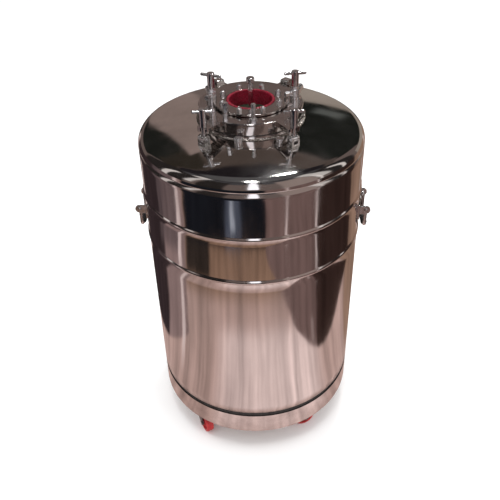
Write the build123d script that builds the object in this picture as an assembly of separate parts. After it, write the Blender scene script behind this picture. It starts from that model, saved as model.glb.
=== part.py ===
"""Liquid nitrogen dewar of about 60 litres, in polished stainless steel, on a castor base.

Millimetres, +Z up. The origin is on the floor under the middle of the vessel, and the front is -Y.
A vacuum-insulated double vessel hangs from its neck collar. On the collar sits a ring-shaped valve
cover, held down at the back by two claws and at the front by two swing bolts with tee nuts.
"""

from build123d import *
import os
from math import asin, cos, pi, radians, sin, sqrt

# Outer vessel
SHELL_R = 230.0
WALL = 2.0
SHELL_BOTTOM_Z = 137.0
SHOULDER_Z = 728.0
TOP_KNUCKLE = 25.0
TOP_CROWN = 920.0
BEAD_Z = (523.5, 626.0)
BEAD_HEIGHT = 2.2
BEAD_HALF_WIDTH = 5.5
BOTTOM_HEAD_Z = 155.0
BOTTOM_CROWN = 700.0
HEAD_RIM = 12.0

# Inner vessel
INNER_R = 198.0
INNER_BOTTOM_Z = 200.0
INNER_TOP_Z = 600.0
INNER_KNUCKLE = 40.0
INNER_CROWN = 400.0
WRAP_THICKNESS = 13.0

# Neck
NECK_BORE_R = 40.0
NECK_TUBE_R = 42.5
NECK_TUBE_TOP_Z = 772.0
COLLAR_R = 104.0
COLLAR_BOTTOM_Z = 764.0
COLLAR_TOP_Z = 776.0
COLLAR_TOE = 3.0
GASKET = 2.0
COVER_TOP_Z = 801.0
COVER_WALL = 5.0
SEAL_IN_R = 42.5
SEAL_OUT_R = 48.0
SEAL_FLANGE_R = 66.5
SEAL_FLANGE = 1.5
SEAL_TOP_Z = 807.5
CLAMP_RING_IN_R = 48.3
CLAMP_RING_OUT_R = 75.0
CLAMP_RING_THICKNESS = 4.0
CLAMP_STUD_CIRCLE_R = 60.0
CLAMP_STUDS = 8

# Neck plug
PLUG_R = 39.0
PLUG_BOTTOM_Z = 690.0
PLUG_CAP_R = 41.7
PLUG_CAP_TOP_Z = 777.5
PLUG_STEM_R = 5.0
PLUG_KNOB_R = 8.0
PLUG_TOP_Z = 851.0

# Valves and pipes
PIPE_R = 6.35
PIPE_BORE_R = 5.0
PIPE_HOLE_R = 6.4
LIQUID_VALVE_AT = (-77.0, 12.0)
VENT_VALVE_AT = (88.0, 12.0)
VENT_TUBE_AT = (0.0, 80.0)
VALVE_BODY_R = 9.0
VALVE_BODY_HEIGHT = 19.0
OUTLET_RISE = 11.5
OUTLET_REACH = 32.0
OUTLET_LENGTH = 18.0
GLAND_HEIGHT = 4.0
GAUGE_BOSS_REACH = 22.0
LIQUID_OUTLET_HEADING = 105.0
VENT_OUTLET_HEADING = 65.0
GAUGE_BOSS_TURN = 140.0
SPINDLE_R = 4.0
RUNNING_GAP = 0.05
HUB_R = 7.2
TEE_ROD_R = 3.0
TEE_DROP = 5.6
VALVE_TOP_Z = 857.0
VALVE_TEE_LENGTH = 44.0

# Swing bolts and claws
# Degrees round from the front: the cover sits a few degrees off square on the vessel
SWING_ANGLES = {"left": -39.0, "right": 33.0}
SWING_R = 142.0
SWING_PIVOT_Z = 778.0
EAR_TOP_Z = 801.0
EAR_THICKNESS = 9.0
EAR_WIDTH = 26.0
EAR_PAST_BOLT = 4.5
SLOT_HALF_WIDTH = 4.7
NUT_GAP = 0.9
NUT_HUB_R = 6.5
NUT_TOP_Z = 838.0
NUT_TEE_LENGTH = 40.0
PIN_R = 3.0
CLAW_ANGLES = (-146.0, 140.0)

# Side handles
HANDLE_TURN = -3.0
BAIL_PIVOT_X = 243.0
BAIL_PIVOT_Z = 570.0
BAIL_R = 4.0
BAIL_HALF_WIDTH = 28.0
BAIL_BEND_R = 5.5
BAIL_DROP = 44.0
GRIP_R = 7.0
GRIP_LENGTH = 40.0
BRACKET_Y = (34.5, 39.0)
BRACKET_HALF_WIDTH = 46.0
# Side name: how far the handle, drawn towards +X, is turned about Z
HANDLES = {"right": HANDLE_TURN, "left": HANDLE_TURN + 180.0}

# Base and castors
TRAY_BOTTOM_Z = 70.0
TRAY_TOP_Z = 125.0
TRAY_WALL = 2.5
TRAY_FLANGE_IN_R = 221.0
TRAY_FLOOR = 3.0
RUBBER_SETBACK = 1.8
BOSS_R = 20.0
BOSS_TOP_Z = 110.0
HOLD_DOWN_R = 5.0
CASTOR_XY = 137.0
CASTOR_TRAIL = 24.0
WHEEL_R = 25.0
WHEEL_HALF_WIDTH = 9.0
KINGPIN_R = 4.0
# Corner name: (x sign, y sign, heading of the trail in degrees from +X)
CASTORS = {
    "front_left": (-1, -1, 297.0),
    "front_right": (1, -1, 200.0),
    "rear_left": (-1, 1, 160.0),
    "rear_right": (1, 1, 20.0),
}


def ring(r_in, r_out, z0, z1):
    """Round tube or washer standing on z0."""
    body = Cylinder(r_out, z1 - z0, align=(Align.CENTER, Align.CENTER, Align.MIN))
    if r_in > 0:
        body -= Cylinder(r_in, z1 - z0, align=(Align.CENTER, Align.CENTER, Align.MIN))
    return Pos(0, 0, z0) * body


def disc(radius, z0, z1):
    return ring(0, radius, z0, z1)


def block(x0, x1, y0, y1, z0, z1):
    size = Box(x1 - x0, y1 - y0, z1 - z0, align=(Align.MIN, Align.MIN, Align.MIN))
    return Pos(x0, y0, z0) * size


def turned(*edges):
    """Solid of revolution about Z, from edges drawn in the XZ plane."""
    return revolve(make_face(Wire(Curve() + list(edges)).edges()), Axis.Z, 360)


def at_angle(angle, shape):
    """Turns a shape drawn towards -Y about Z: positive angles go to the right, towards +X."""
    return Rot(0, 0, angle) * shape


def crown_centre(radius, knuckle, crown, tangent_z, up):
    reach = crown - knuckle
    return tangent_z - up * sqrt(reach**2 - (radius - knuckle) ** 2)


def dished_head(radius, knuckle, crown, wall, tangent_z, rim=0.0, hole=0.0, up=1):
    """Torispherical head: a straight rim, a knuckle arc and a crown arc, with a hole on its axis."""
    sweep = asin((radius - knuckle) / (crown - knuckle))
    centre_z = crown_centre(radius, knuckle, crown, tangent_z, up)

    def skin(inset):
        k, c = knuckle - inset, crown - inset
        bend = (pi / 2 - sweep) / 2
        inner = asin(hole / c)
        along = (sweep + inner) / 2
        return {
            "rim": (radius - inset, 0, tangent_z - up * rim),
            "start": (radius - inset, 0, tangent_z),
            "bend": (radius - knuckle + k * cos(bend), 0, tangent_z + up * k * sin(bend)),
            "join": (c * sin(sweep), 0, centre_z + up * c * cos(sweep)),
            "along": (c * sin(along), 0, centre_z + up * c * cos(along)),
            "edge": (hole, 0, centre_z + up * c * cos(inner)),
        }

    out, ins = skin(0.0), skin(wall)
    edges = [
        ThreePointArc(out["start"], out["bend"], out["join"]),
        ThreePointArc(out["join"], out["along"], out["edge"]),
        Line(out["edge"], ins["edge"]),
        ThreePointArc(ins["edge"], ins["along"], ins["join"]),
        ThreePointArc(ins["join"], ins["bend"], ins["start"]),
    ]
    if rim:
        edges += [
            Line(ins["start"], ins["rim"]),
            Line(ins["rim"], out["rim"]),
            Line(out["rim"], out["start"]),
        ]
    else:
        edges.append(Line(ins["start"], out["start"]))
    return turned(*edges)


TOP_CENTRE_Z = crown_centre(SHELL_R, TOP_KNUCKLE, TOP_CROWN, SHOULDER_Z, 1)
INNER_BOTTOM_CENTRE_Z = crown_centre(INNER_R, INNER_KNUCKLE, INNER_CROWN, INNER_BOTTOM_Z, -1)
BOTTOM_CENTRE_Z = crown_centre(SHELL_R - WALL, TOP_KNUCKLE, BOTTOM_CROWN, BOTTOM_HEAD_Z, -1)


def ball(radius, z):
    return Pos(0, 0, z) * Sphere(radius)


def head_z(r):
    """Height of the top head's outer surface at radius r on the crown."""
    return TOP_CENTRE_Z + sqrt(TOP_CROWN**2 - r**2)


# Outer vessel

def outer_shell():
    inside = SHELL_R - WALL
    edges = [
        Line((inside, 0, SHOULDER_Z), (inside, 0, SHELL_BOTTOM_Z)),
        Line((inside, 0, SHELL_BOTTOM_Z), (SHELL_R, 0, SHELL_BOTTOM_Z)),
    ]
    z = SHELL_BOTTOM_Z
    for bead in BEAD_Z:
        low, high = bead - BEAD_HALF_WIDTH, bead + BEAD_HALF_WIDTH
        edges.append(Line((SHELL_R, 0, z), (SHELL_R, 0, low)))
        crest = (SHELL_R + BEAD_HEIGHT, 0, bead)
        edges.append(ThreePointArc((SHELL_R, 0, low), crest, (SHELL_R, 0, high)))
        z = high
    edges.append(Line((SHELL_R, 0, z), (SHELL_R, 0, SHOULDER_Z)))
    edges.append(Line((SHELL_R, 0, SHOULDER_Z), (inside, 0, SHOULDER_Z)))
    return turned(*edges)


VACUUM_PORT_R = 8.5
VACUUM_PORT_TOP_Z = 775.0
VACUUM_CAP_TOP_Z = 780.0
VACUUM_PORT_AT = (-25.5, -114.0)
CASING_RELIEF_R = 5.5
CASING_RELIEF_SEAT_Z = 772.0
CASING_RELIEF_TOP_Z = 776.0
CASING_RELIEF_AT = (52.0, -112.0)


def top_head():
    head = dished_head(SHELL_R, TOP_KNUCKLE, TOP_CROWN, WALL, SHOULDER_Z, hole=COLLAR_R)
    x, y = VACUUM_PORT_AT
    return head - Pos(x, y, 0) * disc(VACUUM_PORT_R - 3.0, SHOULDER_Z, COVER_TOP_Z)


def vacuum_port():
    x, y = VACUUM_PORT_AT
    tube = ring(VACUUM_PORT_R - 3.0, VACUUM_PORT_R - 1.0, SHOULDER_Z, VACUUM_PORT_TOP_Z)
    return Pos(x, y, 0) * tube - ball(TOP_CROWN, TOP_CENTRE_Z)


def vacuum_port_cap():
    x, y = VACUUM_PORT_AT
    cap = disc(VACUUM_PORT_R, VACUUM_PORT_TOP_Z, VACUUM_CAP_TOP_Z)
    cap = fillet(cap.edges().sort_by(Axis.Z)[-1], 1.5)
    return Pos(x, y, 0) * cap


def casing_relief_plug():
    """Lift-off plug that vents the vacuum space if the inner vessel ever leaks into it."""
    x, y = CASING_RELIEF_AT
    plug = disc(CASING_RELIEF_R, SHOULDER_Z, CASING_RELIEF_SEAT_Z)
    plug += disc(CASING_RELIEF_R + 1.5, CASING_RELIEF_SEAT_Z, CASING_RELIEF_TOP_Z)
    plug = fillet(plug.edges().filter_by(GeomType.CIRCLE).sort_by(Axis.Z)[-1], 1.5)
    return Pos(x, y, 0) * plug - ball(TOP_CROWN, TOP_CENTRE_Z)


def bottom_head():
    radius = SHELL_R - WALL
    return dished_head(
        radius, TOP_KNUCKLE, BOTTOM_CROWN, WALL, BOTTOM_HEAD_Z, rim=HEAD_RIM, up=-1
    )


# Inner vessel, hung from the neck tube in the vacuum space

POUCH_IN_R, POUCH_OUT_R = 50.0, 85.0
POUCH_LOW_Z, POUCH_HIGH_Z = 108.0, 135.0
SPACER_R = 15.0
SPACER_LOW_Z, SPACER_HIGH_Z = 90.0, 130.0
NECK_TUBE_BOTTOM_Z = 668.0
DIP_TUBE_BOTTOM_Z = 165.0
VENT_TUBE_BOTTOM_Z = 655.0


def inner_shell():
    return ring(INNER_R - WALL, INNER_R, INNER_BOTTOM_Z, INNER_TOP_Z)


def inner_top_head():
    head = dished_head(
        INNER_R, INNER_KNUCKLE, INNER_CROWN, WALL, INNER_TOP_Z, hole=NECK_TUBE_R
    )
    for x, y in (LIQUID_VALVE_AT, VENT_TUBE_AT):
        head -= Pos(x, y, 0) * disc(PIPE_HOLE_R, INNER_TOP_Z, COLLAR_TOP_Z)
    return head


def inner_bottom_head():
    return dished_head(
        INNER_R, INNER_KNUCKLE, INNER_CROWN, WALL, INNER_BOTTOM_Z, up=-1
    )


def superinsulation_wrap():
    return ring(INNER_R + 0.3, INNER_R + WRAP_THICKNESS, INNER_BOTTOM_Z, INNER_TOP_Z)


def adsorbent_pouch():
    pouch = ring(POUCH_IN_R, POUCH_OUT_R, POUCH_LOW_Z, POUCH_HIGH_Z)
    return pouch - ball(INNER_CROWN, INNER_BOTTOM_CENTRE_Z)


def bottom_spacer():
    post = disc(SPACER_R, SPACER_LOW_Z, SPACER_HIGH_Z) & ball(BOTTOM_CROWN - WALL, BOTTOM_CENTRE_Z)
    return post - ball(INNER_CROWN, INNER_BOTTOM_CENTRE_Z)


def neck_tube():
    return ring(NECK_BORE_R, NECK_TUBE_R, NECK_TUBE_BOTTOM_Z, NECK_TUBE_TOP_Z)


# Neck collar and valve cover

def neck_collar():
    """Plate ring that closes the vacuum space, with a cove round its foot like a dressed weld."""
    toe = COLLAR_R + COLLAR_TOE
    toe_z = head_z(COLLAR_R) + 0.1
    cove_mid = COLLAR_TOE * (1 - cos(pi / 4))
    edges = [
        Line((NECK_TUBE_R, 0, COLLAR_BOTTOM_Z), (COLLAR_R, 0, COLLAR_BOTTOM_Z)),
        Line((COLLAR_R, 0, COLLAR_BOTTOM_Z), (COLLAR_R, 0, toe_z)),
        Line((COLLAR_R, 0, toe_z), (toe, 0, toe_z)),
        ThreePointArc(
            (toe, 0, toe_z),
            (COLLAR_R + cove_mid, 0, toe_z + cove_mid),
            (COLLAR_R, 0, toe_z + COLLAR_TOE),
        ),
        Line((COLLAR_R, 0, toe_z + COLLAR_TOE), (COLLAR_R, 0, COLLAR_TOP_Z)),
        Line((COLLAR_R, 0, COLLAR_TOP_Z), (NECK_TUBE_R, 0, COLLAR_TOP_Z)),
        Line((NECK_TUBE_R, 0, COLLAR_TOP_Z), (NECK_TUBE_R, 0, COLLAR_BOTTOM_Z)),
    ]
    collar = turned(*edges)
    for x, y in (LIQUID_VALVE_AT, VENT_TUBE_AT):
        collar -= Pos(x, y, 0) * disc(PIPE_HOLE_R, COLLAR_BOTTOM_Z, COLLAR_TOP_Z)
    return collar


def outer_cover_gasket():
    return ring(COLLAR_R - 7.0, COLLAR_R - 0.5, COLLAR_TOP_Z, COLLAR_TOP_Z + GASKET)


def inner_cover_gasket():
    return ring(SEAL_OUT_R, SEAL_OUT_R + 6.0, COLLAR_TOP_Z, COLLAR_TOP_Z + GASKET)


def cover_ear():
    """Tongue towards -Y with a slot, open at its end, that a swing bolt drops into."""
    tip = SWING_R + EAR_PAST_BOLT
    ear = block(-EAR_WIDTH / 2, EAR_WIDTH / 2, -tip, -COLLAR_R + 3.0,
                EAR_TOP_Z - EAR_THICKNESS, EAR_TOP_Z)
    ear = fillet(ear.edges().filter_by(Axis.Z).group_by(Axis.Y)[0], 5.0)
    low = EAR_TOP_Z - EAR_THICKNESS
    slot = block(-SLOT_HALF_WIDTH, SLOT_HALF_WIDTH, -tip, -SWING_R, low, EAR_TOP_Z)
    return ear - slot - Pos(0, -SWING_R, 0) * disc(SLOT_HALF_WIDTH, low, EAR_TOP_Z)


def rear_tongue():
    tongue = block(-11.0, 11.0, -117.0, -COLLAR_R + 3.0, EAR_TOP_Z - EAR_THICKNESS, EAR_TOP_Z)
    return fillet(tongue.edges().filter_by(Axis.Z).group_by(Axis.Y)[0], 3.0)


RELIEF_AT = (4.0, -92.0)
BURST_AT = (-48.0, -80.0)
RELIEF_SPIGOT_R = 3.4


def neck_cover():
    """Hollow ring that caps the collar: its inside is the gas space for the vent and relief valves."""
    base_z = COLLAR_TOP_Z + GASKET
    top = ring(0, COLLAR_R, base_z, COVER_TOP_Z)
    top = fillet(top.edges().filter_by(GeomType.CIRCLE).sort_by(Axis.Z)[-1], 2.5)
    for angle in SWING_ANGLES.values():
        top += at_angle(angle, cover_ear())
    for angle in CLAW_ANGLES:
        top += at_angle(angle, rear_tongue())
    top -= ring(SEAL_OUT_R + 4.0, COLLAR_R - COVER_WALL, base_z, COVER_TOP_Z - COVER_WALL)
    top -= disc(SEAL_OUT_R, base_z, COVER_TOP_Z)
    top -= Pos(*LIQUID_VALVE_AT, 0) * disc(PIPE_HOLE_R, base_z, COVER_TOP_Z)
    top -= Pos(*VENT_VALVE_AT, 0) * disc(PIPE_BORE_R, base_z, COVER_TOP_Z)
    for x, y in (RELIEF_AT, BURST_AT):
        top -= Pos(x, y, 0) * disc(RELIEF_SPIGOT_R, base_z, COVER_TOP_Z)
    return top


CLAMP_LOW_Z = COVER_TOP_Z + SEAL_FLANGE
CLAMP_HIGH_Z = CLAMP_LOW_Z + CLAMP_RING_THICKNESS


def stud_places():
    return [at_angle(clamp_stud_angle(i), Pos(0, -CLAMP_STUD_CIRCLE_R, 0))
            for i in range(CLAMP_STUDS)]


def neck_seal_ring():
    """Silicone sleeve with a rounded lip at the mouth and a flange under the clamp ring."""
    seal = ring(SEAL_IN_R, SEAL_OUT_R, COLLAR_TOP_Z, SEAL_TOP_Z)
    lip = seal.edges().filter_by(GeomType.CIRCLE).group_by(Axis.Z)[-1]
    seal = fillet(lip, 2.0)
    seal += ring(SEAL_OUT_R - 1.0, SEAL_FLANGE_R, COVER_TOP_Z, CLAMP_LOW_Z)
    for place in stud_places():
        seal -= place * disc(3.0, COVER_TOP_Z, CLAMP_LOW_Z)
    return seal


def seal_clamp_ring():
    clamp = ring(CLAMP_RING_IN_R, CLAMP_RING_OUT_R, CLAMP_LOW_Z, CLAMP_HIGH_Z)
    clamp = fillet(clamp.edges().filter_by(GeomType.CIRCLE).group_by(Axis.Z)[-1], 1.2)
    for place in stud_places():
        clamp -= place * disc(3.0, CLAMP_LOW_Z, CLAMP_HIGH_Z)
    for x, y in (LIQUID_VALVE_AT, VENT_VALVE_AT):
        clamp -= Pos(x, y, 0) * disc(VALVE_BODY_R + 0.6, CLAMP_LOW_Z, CLAMP_HIGH_Z)
    return clamp


def clamp_stud_angle(i):
    return 22.5 + i * 360.0 / CLAMP_STUDS


def clamp_ring_nuts():
    """Acorn nuts on short studs, one solid each."""
    nut = Pos(0, 0, CLAMP_HIGH_Z) * extrude(RegularPolygon(5.0, 6, major_radius=False), 5.0)
    nut += ball(4.6, CLAMP_HIGH_Z + 4.0)
    nut -= block(-9, 9, -9, 9, CLAMP_HIGH_Z - 9.0, CLAMP_HIGH_Z)
    nut += disc(2.95, COVER_TOP_Z, CLAMP_HIGH_Z + 1.0)
    return Compound(children=[place * nut for place in stud_places()])


CLAW_HALF_WIDTH = 9.0
CLAW_BACK_Y, CLAW_FACE_Y, CLAW_TIP_Y = -128.0, -118.0, -109.0


def rear_claws():
    """Fixed hooks behind the collar that hold the cover's rear tongues down."""
    low, high = head_z(SWING_R) - 6.0, EAR_TOP_Z + 7.0
    wide = CLAW_HALF_WIDTH
    claw = block(-wide, wide, CLAW_BACK_Y, CLAW_FACE_Y, low, high)
    claw += block(-wide, wide, CLAW_BACK_Y, CLAW_TIP_Y, EAR_TOP_Z + 0.4, high)
    claw = fillet(claw.edges().filter_by(Axis.X).group_by(Axis.Z)[-1], 3.0)
    claw -= ball(TOP_CROWN, TOP_CENTRE_Z)
    return Compound(children=[at_angle(angle, claw) for angle in CLAW_ANGLES])


# Neck plug

def plug_foam():
    return disc(PLUG_R, PLUG_BOTTOM_Z, NECK_TUBE_TOP_Z)


def plug_cap():
    cap = disc(PLUG_CAP_R, NECK_TUBE_TOP_Z, PLUG_CAP_TOP_Z)
    return fillet(cap.edges().filter_by(GeomType.CIRCLE).sort_by(Axis.Z)[-1], 1.5)


def plug_stem():
    """Lifting post with a collar at its foot and a turned knob."""
    stem = disc(PLUG_STEM_R, PLUG_CAP_TOP_Z, PLUG_TOP_Z - 4.0)
    stem += disc(PLUG_KNOB_R + 3.0, PLUG_CAP_TOP_Z, PLUG_CAP_TOP_Z + 3.0)
    knob = disc(PLUG_KNOB_R, PLUG_TOP_Z - 11.0, PLUG_TOP_Z)
    stem += fillet(knob.edges().filter_by(GeomType.CIRCLE), 2.5)
    return stem


# Extended-spindle tee-handle valves

def tee(length, z, hub_r, hub_low, hub_high, bore_r, bore_high):
    """Tee handle: a hub with a blind bore from below and a cross rod with rounded ends."""
    hub = disc(hub_r, hub_low, hub_high)
    hub = fillet(hub.edges().filter_by(GeomType.CIRCLE).sort_by(Axis.Z)[-1], 1.5)
    rod = Rot(0, 90, 0) * Cylinder(TEE_ROD_R, length)
    rod = fillet(rod.edges().filter_by(GeomType.CIRCLE), TEE_ROD_R - 0.6)
    return hub + Pos(0, 0, z) * rod - disc(bore_r, hub_low, bore_high)


GLAND_LOW_Z = COVER_TOP_Z + VALVE_BODY_HEIGHT
GLAND_HIGH_Z = GLAND_LOW_Z + GLAND_HEIGHT


def pipe_along_x(outer, z, reach):
    """Round bar or pipe lying along +X from the origin."""
    bar = Cylinder(outer, reach, align=(Align.CENTER, Align.CENTER, Align.MIN))
    return Pos(0, 0, z) * Rot(0, 90, 0) * bar


def nut_along_x(inradius, z, x0, x1):
    nut = extrude(RegularPolygon(inradius, 6, major_radius=False), x1 - x0)
    return Pos(x0, 0, z) * Rot(0, 90, 0) * nut


def valve_body(at, heading):
    """Round body on the cover, fed from below, with a stub outlet and a capped gauge boss."""
    low, high = COVER_TOP_Z, GLAND_LOW_Z
    mid_z = low + OUTLET_RISE
    body = disc(VALVE_BODY_R, low, high)
    body = fillet(body.edges().filter_by(GeomType.CIRCLE).sort_by(Axis.Z)[-1], 1.5)
    body += pipe_along_x(PIPE_R, mid_z, OUTLET_REACH)
    body += nut_along_x(7.5, mid_z, VALVE_BODY_R - 1.0, OUTLET_REACH - OUTLET_LENGTH)
    boss = pipe_along_x(4.0, mid_z, GAUGE_BOSS_REACH - 2.0)
    boss += nut_along_x(4.6, mid_z, GAUGE_BOSS_REACH - 8.0, GAUGE_BOSS_REACH)
    body += Rot(0, 0, GAUGE_BOSS_TURN) * boss
    body -= pipe_along_x(PIPE_BORE_R, mid_z, OUTLET_REACH)
    body -= disc(PIPE_BORE_R, low, mid_z)
    body -= disc(SPINDLE_R + RUNNING_GAP, mid_z, high)
    return Pos(*at, 0) * Rot(0, 0, heading) * body


def valve_glands():
    nut = Pos(0, 0, GLAND_LOW_Z) * extrude(RegularPolygon(6.5, 6, major_radius=False), GLAND_HEIGHT)
    nut -= disc(SPINDLE_R + RUNNING_GAP, GLAND_LOW_Z, GLAND_HIGH_Z)
    return Compound(children=[Pos(*at, 0) * nut for at in (LIQUID_VALVE_AT, VENT_VALVE_AT)])


def valve_spindle(at):
    return Pos(*at, 0) * disc(SPINDLE_R, GLAND_LOW_Z - 5.0, VALVE_TOP_Z - 12.0)


def valve_handle(at, turn):
    handle = tee(VALVE_TEE_LENGTH, VALVE_TOP_Z - TEE_DROP, HUB_R, GLAND_HIGH_Z + 3.0, VALVE_TOP_Z,
                 SPINDLE_R, VALVE_TOP_Z - 12.0)
    return Pos(*at, 0) * Rot(0, 0, turn) * handle


def dip_tube():
    return Pos(*LIQUID_VALVE_AT, 0) * ring(PIPE_BORE_R, PIPE_R, DIP_TUBE_BOTTOM_Z, COVER_TOP_Z)


def vent_tube():
    return Pos(*VENT_TUBE_AT, 0) * ring(PIPE_BORE_R, PIPE_R, VENT_TUBE_BOTTOM_Z, COLLAR_TOP_Z + 8.0)


RELIEF_HEIGHT = 36.0
RELIEF_CAP_R, RELIEF_CAP_LENGTH = 4.6, 11.0
BURST_HEIGHT = 34.0
BURST_NUT_INRADIUS = 4.7


def relief_valve():
    """Spring relief valve: hexagon foot, slim body and a cap."""
    z = COVER_TOP_Z
    valve = disc(RELIEF_SPIGOT_R, z - COVER_WALL, z + 2.0)
    valve += Pos(0, 0, z) * extrude(RegularPolygon(6.0, 6, major_radius=False), 6.0)
    top = z + RELIEF_HEIGHT
    valve += disc(3.6, z, top - 4.0)
    cap = disc(RELIEF_CAP_R, top - RELIEF_CAP_LENGTH, top)
    valve += fillet(cap.edges().filter_by(GeomType.CIRCLE), 1.4)
    return Pos(*RELIEF_AT, 0) * valve


def burst_disc_holder():
    """Holder of the bursting disc: a hexagon foot, a waist and a long hexagon cap."""
    z = COVER_TOP_Z
    holder = disc(RELIEF_SPIGOT_R, z - COVER_WALL, z + 2.0)
    top = z + BURST_HEIGHT
    holder += disc(RELIEF_SPIGOT_R, z, top)
    hexagon = RegularPolygon(BURST_NUT_INRADIUS, 6, major_radius=False)
    for low, high in ((z, z + 11.0), (z + 16.0, top)):
        holder += Pos(0, 0, low) * extrude(hexagon, high - low)
    return Pos(*BURST_AT, 0) * holder


# Swing bolts

LUG_R = 8.0
LUG_IN_X, LUG_OUT_X = 4.8, 8.8
BOLT_EYE_R = 7.0
BOLT_EYE_WIDTH = 9.0


def swing_lug():
    """Two ears on the head, either side of the bolt's eye."""
    low = head_z(SWING_R) - 6.0
    front, back = -SWING_R - LUG_R, -SWING_R + LUG_R
    plate = block(LUG_IN_X, LUG_OUT_X, front, back, low, SWING_PIVOT_Z)
    round_end = Rot(0, 90, 0) * Cylinder(LUG_R, LUG_OUT_X - LUG_IN_X)
    plate += Pos((LUG_IN_X + LUG_OUT_X) / 2, -SWING_R, SWING_PIVOT_Z) * round_end
    ears = plate + mirror(plate, Plane.YZ)
    foot = block(-LUG_OUT_X, LUG_OUT_X, front, back, low, head_z(SWING_R) + 3.5)
    ears += foot
    ears -= Pos(0, -SWING_R, SWING_PIVOT_Z) * Rot(0, 90, 0) * Cylinder(PIN_R, 30.0)
    return ears - ball(TOP_CROWN, TOP_CENTRE_Z)


def swing_pin():
    pin = Rot(0, 90, 0) * Cylinder(PIN_R, 21.0)
    head = Pos(-10.5, 0, 0) * Rot(0, 90, 0) * Cylinder(4.6, 2.6)
    return Pos(0, -SWING_R, SWING_PIVOT_Z) * (pin + head)


def swing_bolt():
    eye = Pos(0, -SWING_R, SWING_PIVOT_Z) * Rot(0, 90, 0) * Cylinder(BOLT_EYE_R, BOLT_EYE_WIDTH)
    shank = Pos(0, -SWING_R, 0) * disc(SPINDLE_R, SWING_PIVOT_Z + 3.0, NUT_TOP_Z - 11.5)
    hole = Pos(0, -SWING_R, SWING_PIVOT_Z) * Rot(0, 90, 0) * Cylinder(PIN_R + RUNNING_GAP, 12.0)
    return eye + shank - hole


def tee_nut(turn):
    nut = tee(NUT_TEE_LENGTH, NUT_TOP_Z - TEE_DROP, NUT_HUB_R, EAR_TOP_Z + NUT_GAP, NUT_TOP_Z,
              SPINDLE_R + RUNNING_GAP, NUT_TOP_Z - 11.0)
    return Pos(0, -SWING_R, 0) * Rot(0, 0, turn) * nut


# Side handles, drawn on the +X side

def handle_bracket():
    """Curved weld plate with two ears that hold the turned-out ends of the bail."""
    z = BAIL_PIVOT_Z
    plate = ring(SHELL_R, SHELL_R + 3.0, z - 19.0, z + 16.0)
    plate &= block(200.0, 260.0, -BRACKET_HALF_WIDTH, BRACKET_HALF_WIDTH, 500.0, 640.0)
    low, high = BRACKET_Y
    ear = block(215.0, BAIL_PIVOT_X, low, high, z - 10.0, z + 9.0)
    boss = Pos(BAIL_PIVOT_X, (low + high) / 2, z) * Rot(90, 0, 0)
    ear += boss * Cylinder(9.0, high - low)
    ear -= disc(SHELL_R, 400.0, 700.0)
    ear -= boss * Cylinder(BAIL_R + RUNNING_GAP, 12.0)
    return plate + ear + mirror(ear, Plane.XZ)


def handle_brackets():
    return Compound(children=[Rot(0, 0, turn) * handle_bracket() for turn in HANDLES.values()])


def bail(turn):
    """U-shaped rod that hangs from the ears, with its two ends turned outwards."""
    x, top, low = BAIL_PIVOT_X, BAIL_PIVOT_Z, BAIL_PIVOT_Z - BAIL_DROP
    end = BRACKET_Y[1] + 3.0
    path = FilletPolyline(
        (x, -end, top),
        (x, -BAIL_HALF_WIDTH, top),
        (x, -BAIL_HALF_WIDTH, low),
        (x, BAIL_HALF_WIDTH, low),
        (x, BAIL_HALF_WIDTH, top),
        (x, end, top),
        radius=BAIL_BEND_R,
    )
    section = Plane((x, -end, top), z_dir=(0, 1, 0)) * Circle(BAIL_R)
    return Rot(0, 0, turn) * sweep(section, path=path)


def grip(turn):
    sleeve = Cylinder(GRIP_R, GRIP_LENGTH)
    sleeve = fillet(sleeve.edges().filter_by(GeomType.CIRCLE), 2.0)
    sleeve -= Cylinder(BAIL_R, GRIP_LENGTH)
    place = Pos(BAIL_PIVOT_X, 0, BAIL_PIVOT_Z - BAIL_DROP) * Rot(90, 0, 0)
    return Rot(0, 0, turn) * place * sleeve


# Base tray and castors

def base_tray():
    """Pan with an upright rim and an inturned flange that carries the vessel."""
    tray = ring(0, SHELL_R, TRAY_BOTTOM_Z, TRAY_TOP_Z)
    tray = fillet(tray.edges().filter_by(GeomType.CIRCLE).sort_by(Axis.Z)[0], 4.0)
    floor_top = TRAY_BOTTOM_Z + TRAY_FLOOR
    tray -= disc(SHELL_R - TRAY_WALL, floor_top, TRAY_TOP_Z - TRAY_WALL)
    tray -= disc(TRAY_FLANGE_IN_R, floor_top, TRAY_TOP_Z)
    tray -= disc(HOLD_DOWN_R + 1.5, TRAY_BOTTOM_Z, floor_top)
    for sx, sy, _ in CASTORS.values():
        for bx, by in CASTOR_BOLTS:
            place = Pos(sx * CASTOR_XY + bx, sy * CASTOR_XY + by, TRAY_BOTTOM_Z - 5.0)
            tray -= place * disc(2.6, 0.0, 10.0)
    return tray


def base_rubber_ring():
    inside = TRAY_FLANGE_IN_R + 1.6
    return ring(inside, SHELL_R - RUBBER_SETBACK, TRAY_TOP_Z, SHELL_BOTTOM_Z)


def bottom_boss():
    low = TRAY_BOTTOM_Z + TRAY_FLOOR
    boss = disc(BOSS_R, low, BOSS_TOP_Z)
    boss -= disc(HOLD_DOWN_R + RUNNING_GAP, low, BOSS_TOP_Z - 20.0)
    return boss - ball(BOTTOM_CROWN, BOTTOM_CENTRE_Z)


def hold_down_fasteners():
    """Bolt through the tray into the boss, and its washer."""
    z = TRAY_BOTTOM_Z
    bolt = Pos(0, 0, z - 10.0) * extrude(RegularPolygon(9.5, 6, major_radius=False), 8.0)
    bolt += disc(HOLD_DOWN_R, z - 10.0, z + 18.0)
    return Compound(children=[bolt, ring(5.2, 14.0, z - 2.0, z)])


CASTOR_BOLTS = [(bx, by) for bx in (-16.0, 16.0) for by in (-16.0, 16.0)]


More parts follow.
